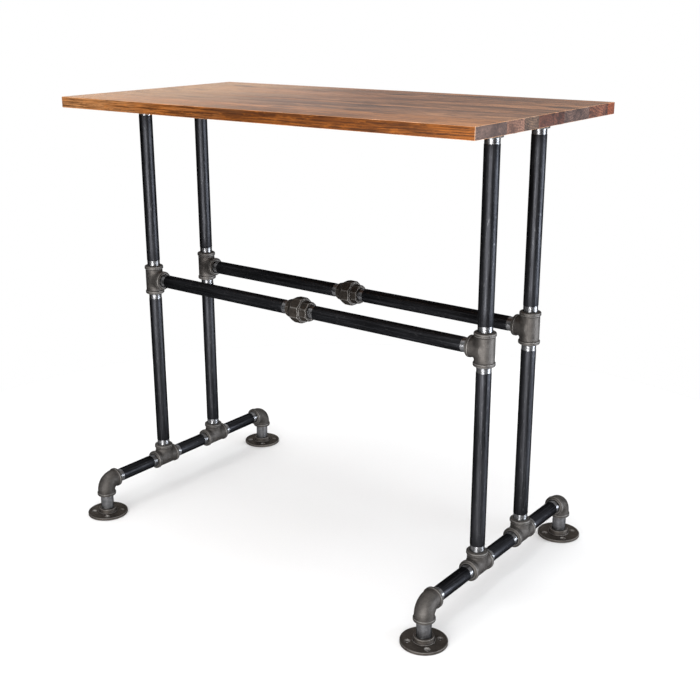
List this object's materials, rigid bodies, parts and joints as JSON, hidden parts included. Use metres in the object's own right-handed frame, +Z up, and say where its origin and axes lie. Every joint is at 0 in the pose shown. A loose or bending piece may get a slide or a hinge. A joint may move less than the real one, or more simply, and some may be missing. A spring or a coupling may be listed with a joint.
{
  "type": "standing desk",
  "caption": "Standing desk with an edge-glued wood top on a frame of black iron pipe: two end frames on floor flanges, joined by rails with unions.",
  "frame": {"origin": "on the floor under the middle of the desk", "axes": "+X to the right along the width, +Y from the front to the back, +Z up"},
  "size_m": [1.143, 0.7112, 1.0668],
  "materials": {
    "wood": "satin clear coat over dark-grained warm brown boards",
    "pipe": "smooth satin black lacquer over steel pipe",
    "fitting": "fine sand-cast black malleable iron, lightly oiled",
    "bare_steel": "bright bare steel, turned",
    "seat": "turned brass",
    "zinc": "zinc-plated steel"
  },
  "bodies": {
    "frame": {"plank_1": "wood", "plank_2": "wood", "plank_3": "wood", "plank_4": "wood", "plank_5": "wood", "plank_6": "wood", "plank_7": "wood", "top_flange_left_front": "fitting", "top_flange_left_back": "fitting", "top_flange_right_front": "fitting", "top_flange_right_back": "fitting", "wood_screws": "zinc", "upper_pipe_left_front": "pipe", "rail_tee_left_front": "fitting", "rail_pipe_left_front": "pipe", "upper_pipe_left_back": "pipe", "rail_tee_left_back": "fitting", "rail_pipe_left_back": "pipe", "upper_pipe_right_front": "pipe", "rail_tee_right_front": "fitting", "rail_pipe_right_front": "pipe", "upper_pipe_right_back": "pipe", "rail_tee_right_back": "fitting", "rail_pipe_right_back": "pipe", "union_tail_front": "fitting", "union_head_front": "fitting", "union_seat_front": "seat", "union_tail_back": "fitting", "union_head_back": "fitting", "union_seat_back": "seat", "lower_pipe_left_front": "pipe", "base_tee_left_front": "fitting", "lower_pipe_left_back": "pipe", "base_tee_left_back": "fitting", "base_pipe_left_front": "pipe", "base_pipe_left_middle": "pipe", "base_pipe_left_back": "pipe", "elbow_left_front": "fitting", "elbow_left_back": "fitting", "lower_pipe_right_front": "pipe", "base_tee_right_front": "fitting", "lower_pipe_right_back": "pipe", "base_tee_right_back": "fitting", "base_pipe_right_front": "pipe", "base_pipe_right_middle": "pipe", "base_pipe_right_back": "pipe", "elbow_right_front": "fitting", "elbow_right_back": "fitting"},
    "nipple_left_front": {"foot_nipple_left_front": "bare_steel"},
    "foot_left_front": {"foot_flange_left_front": "fitting"},
    "nipple_left_back": {"foot_nipple_left_back": "bare_steel"},
    "foot_left_back": {"foot_flange_left_back": "fitting"},
    "nipple_right_front": {"foot_nipple_right_front": "bare_steel"},
    "foot_right_front": {"foot_flange_right_front": "fitting"},
    "nipple_right_back": {"foot_nipple_right_back": "bare_steel"},
    "foot_right_back": {"foot_flange_right_back": "fitting"},
    "nut_front": {"union_nut_front": "fitting"},
    "nut_back": {"union_nut_back": "fitting"}
  },
  "joints": [
    {"name": "foot_travel_left_front", "type": "slide", "parent": "frame", "child": "nipple_left_front", "axis": [0, 0, -1], "range_m": [0, 0.00443]},
    {"name": "foot_turn_left_front", "type": "hinge", "parent": "nipple_left_front", "child": "foot_left_front", "pos_m": [-0.4953, -0.3048, 0.01], "axis": [0, 0, -1], "range_deg": [0, 720]},
    {"name": "foot_travel_left_back", "type": "slide", "parent": "frame", "child": "nipple_left_back", "axis": [0, 0, -1], "range_m": [0, 0.00443]},
    {"name": "foot_turn_left_back", "type": "hinge", "parent": "nipple_left_back", "child": "foot_left_back", "pos_m": [-0.4953, 0.3048, 0.01], "axis": [0, 0, -1], "range_deg": [0, 720]},
    {"name": "foot_travel_right_front", "type": "slide", "parent": "frame", "child": "nipple_right_front", "axis": [0, 0, -1], "range_m": [0, 0.00443]},
    {"name": "foot_turn_right_front", "type": "hinge", "parent": "nipple_right_front", "child": "foot_right_front", "pos_m": [0.4953, -0.3048, 0.01], "axis": [0, 0, -1], "range_deg": [0, 720]},
    {"name": "foot_travel_right_back", "type": "slide", "parent": "frame", "child": "nipple_right_back", "axis": [0, 0, -1], "range_m": [0, 0.00443]},
    {"name": "foot_turn_right_back", "type": "hinge", "parent": "nipple_right_back", "child": "foot_right_back", "pos_m": [0.4953, 0.3048, 0.01], "axis": [0, 0, -1], "range_deg": [0, 720]},
    {"name": "union_nut_turn_front", "type": "hinge", "parent": "frame", "child": "nut_front", "pos_m": [0, -0.097, 0.59], "axis": [-1, 0, 0], "range_deg": [0, 360]},
    {"name": "union_nut_turn_back", "type": "hinge", "parent": "frame", "child": "nut_back", "pos_m": [0, 0.097, 0.59], "axis": [-1, 0, 0], "range_deg": [0, 360]}
  ],
  "couplings": [
    {"joint": "foot_travel_left_front", "follows": "foot_turn_left_front", "m_per_rad": 0.00035152},
    {"joint": "foot_travel_left_back", "follows": "foot_turn_left_back", "m_per_rad": 0.00035152},
    {"joint": "foot_travel_right_front", "follows": "foot_turn_right_front", "m_per_rad": 0.00035152},
    {"joint": "foot_travel_right_back", "follows": "foot_turn_right_back", "m_per_rad": 0.00035152}
  ]
}
